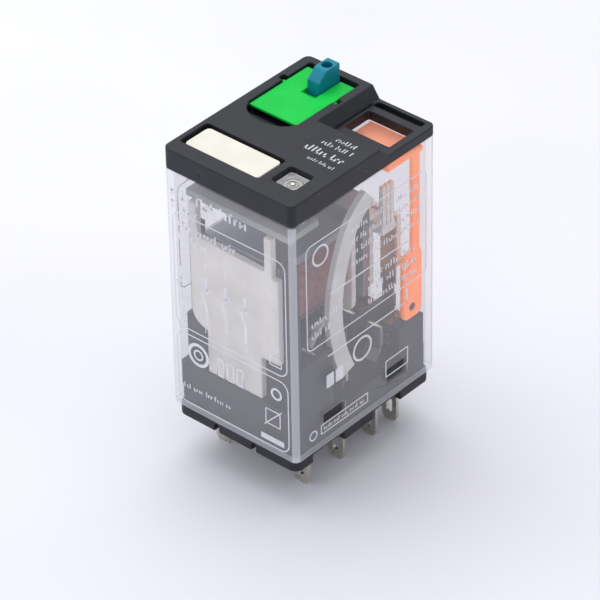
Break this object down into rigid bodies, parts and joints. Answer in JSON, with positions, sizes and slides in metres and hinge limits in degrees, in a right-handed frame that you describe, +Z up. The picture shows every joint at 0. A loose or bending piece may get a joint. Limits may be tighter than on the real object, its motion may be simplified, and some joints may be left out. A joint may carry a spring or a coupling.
{
  "type": "plug-in control relay",
  "caption": "Plug-in changeover relay in a clear case with flat blades, a test button, a lock-down door, an indicator flag and a legend plate.",
  "frame": {"origin": "middle of the flat underside of the moulded base, the face that seats on a socket", "axes": "+Z up from the base through the cap, +X to the right seen from the coil end, -Y towards the coil end and the narrow front wall, +Y towards the contacts"},
  "size_m": [0.0208, 0.0268, 0.0485],
  "materials": {
    "black_plastic": "fine spark-eroded moulding",
    "clear_case": "hazy clear polycarbonate",
    "clear_lens": "clear epoxy",
    "green_plastic": "satin moulding",
    "teal_plastic": "satin moulding",
    "white_plastic": "satin moulding",
    "orange_plastic": "satin moulding",
    "ivory_plastic": "glass-filled moulding",
    "plated_steel": "zinc plated",
    "tinned_brass": "bright tin over brass",
    "spring_bronze": "rolled strip",
    "contact_alloy": "gold-flashed rivet",
    "enamelled_copper": "enamelled magnet wire",
    "lead_sleeve": "soft sleeve",
    "circuit_board": "laminate",
    "resistor_coat": "lacquer",
    "diode_body": "moulded epoxy"
  },
  "bodies": {
    "root": {"base": "black_plastic", "case": "clear_case", "cap": "black_plastic", "front_plate": "ivory_plastic", "led_board": "circuit_board", "led": "clear_lens", "resistor": "resistor_coat", "diode": "diode_body", "bobbin": "ivory_plastic", "coil_winding": "enamelled_copper", "core": "plated_steel", "yoke": "plated_steel", "return_spring": "plated_steel", "coil_wire_1": "enamelled_copper", "coil_wire_2": "enamelled_copper", "coil_terminal_1": "tinned_brass", "coil_terminal_2": "tinned_brass", "no_terminal_1": "tinned_brass", "no_terminal_2": "tinned_brass", "no_terminal_3": "tinned_brass", "no_terminal_4": "tinned_brass", "nc_terminal_1": "tinned_brass", "nc_terminal_2": "tinned_brass", "nc_terminal_3": "tinned_brass", "nc_terminal_4": "tinned_brass", "com_terminal_1": "tinned_brass", "com_terminal_2": "tinned_brass", "com_terminal_3": "tinned_brass", "com_terminal_4": "tinned_brass", "no_contact_1": "contact_alloy", "no_contact_2": "contact_alloy", "no_contact_3": "contact_alloy", "no_contact_4": "contact_alloy", "nc_contact_1": "contact_alloy", "nc_contact_2": "contact_alloy", "nc_contact_3": "contact_alloy", "nc_contact_4": "contact_alloy", "flexible_lead_1": "lead_sleeve", "flexible_lead_2": "lead_sleeve", "flexible_lead_3": "lead_sleeve", "flexible_lead_4": "lead_sleeve"},
    "armature": {"armature": "plated_steel", "carrier": "ivory_plastic", "spring_clamp": "ivory_plastic", "contact_spring_1": "spring_bronze", "contact_spring_2": "spring_bronze", "contact_spring_3": "spring_bronze", "contact_spring_4": "spring_bronze", "moving_contact_1": "contact_alloy", "moving_contact_2": "contact_alloy", "moving_contact_3": "contact_alloy", "moving_contact_4": "contact_alloy"},
    "indicator": {"indicator": "orange_plastic"},
    "test_button": {"test_button": "teal_plastic"},
    "door": {"door": "green_plastic"},
    "legend_plate": {"legend_plate": "white_plastic"}
  },
  "joints": [
    {"name": "armature_swing", "type": "hinge", "parent": "root", "child": "armature", "pos_m": [0, 0.0042, 0.0279], "axis": [-1, 0, 0], "range_deg": [0, 3.2], "stiffness_Nm_per_rad": 0.002, "springref_deg": -1.15},
    {"name": "indicator_tilt", "type": "hinge", "parent": "root", "child": "indicator", "pos_m": [0, 0.0102, 0.0125], "axis": [1, 0, 0], "range_deg": [0, 4.5]},
    {"name": "button_press", "type": "slide", "parent": "root", "child": "test_button", "axis": [0, 0, -1], "range_m": [0, 0.0019]},
    {"name": "door_lift", "type": "hinge", "parent": "root", "child": "door", "pos_m": [0, 0.0076, 0.03955], "axis": [-1, 0, 0], "range_deg": [0, 60]},
    {"name": "legend_lift", "type": "slide", "parent": "root", "child": "legend_plate", "axis": [0, 0, 1], "range_m": [0, 0.003]}
  ],
  "couplings": [
    {"joint": "indicator_tilt", "follows": "armature_swing", "ratio": 1.2},
    {"joint": "button_press", "follows": "armature_swing", "m_per_rad": 0.032229}
  ]
}
